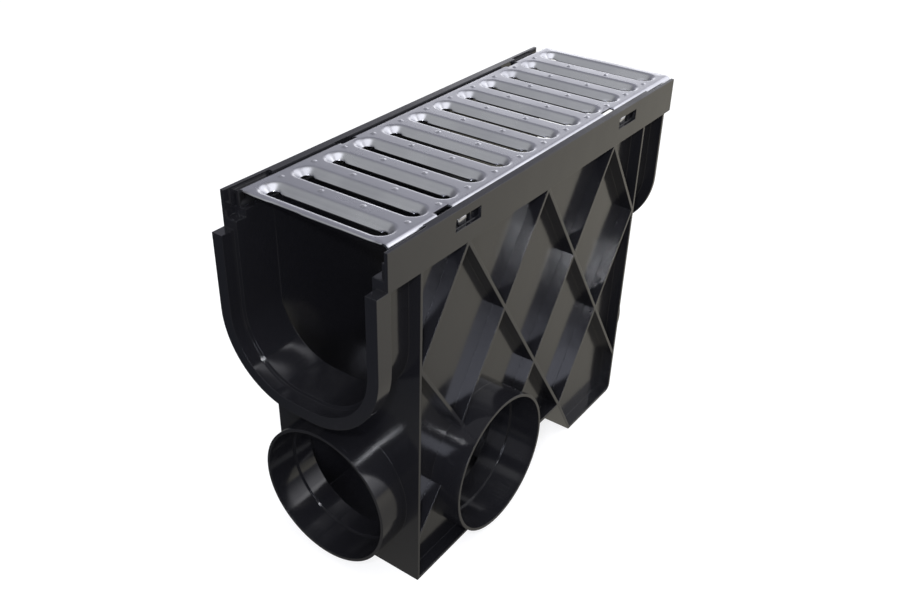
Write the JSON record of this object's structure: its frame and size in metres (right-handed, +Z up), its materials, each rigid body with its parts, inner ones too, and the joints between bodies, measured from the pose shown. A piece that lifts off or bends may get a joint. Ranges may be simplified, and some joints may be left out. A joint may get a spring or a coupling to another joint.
{
  "type": "gully grate",
  "caption": "Linear drain gully: a ribbed black plastic sump with round pipe outlets, under a slotted galvanised steel channel grate that lies on its rails",
  "frame": {"origin": "on the ground, under the middle of the unit's box", "axes": "+Z up; +Y along the channel, away from the socket end; +X across it, to the right"},
  "size_m": [0.2194, 0.5226, 0.39],
  "materials": {
    "plastic": "satin",
    "steel": "galvanised"
  },
  "bodies": {
    "root": {"body": "plastic", "grate": "steel"}
  },
  "joints": []
}
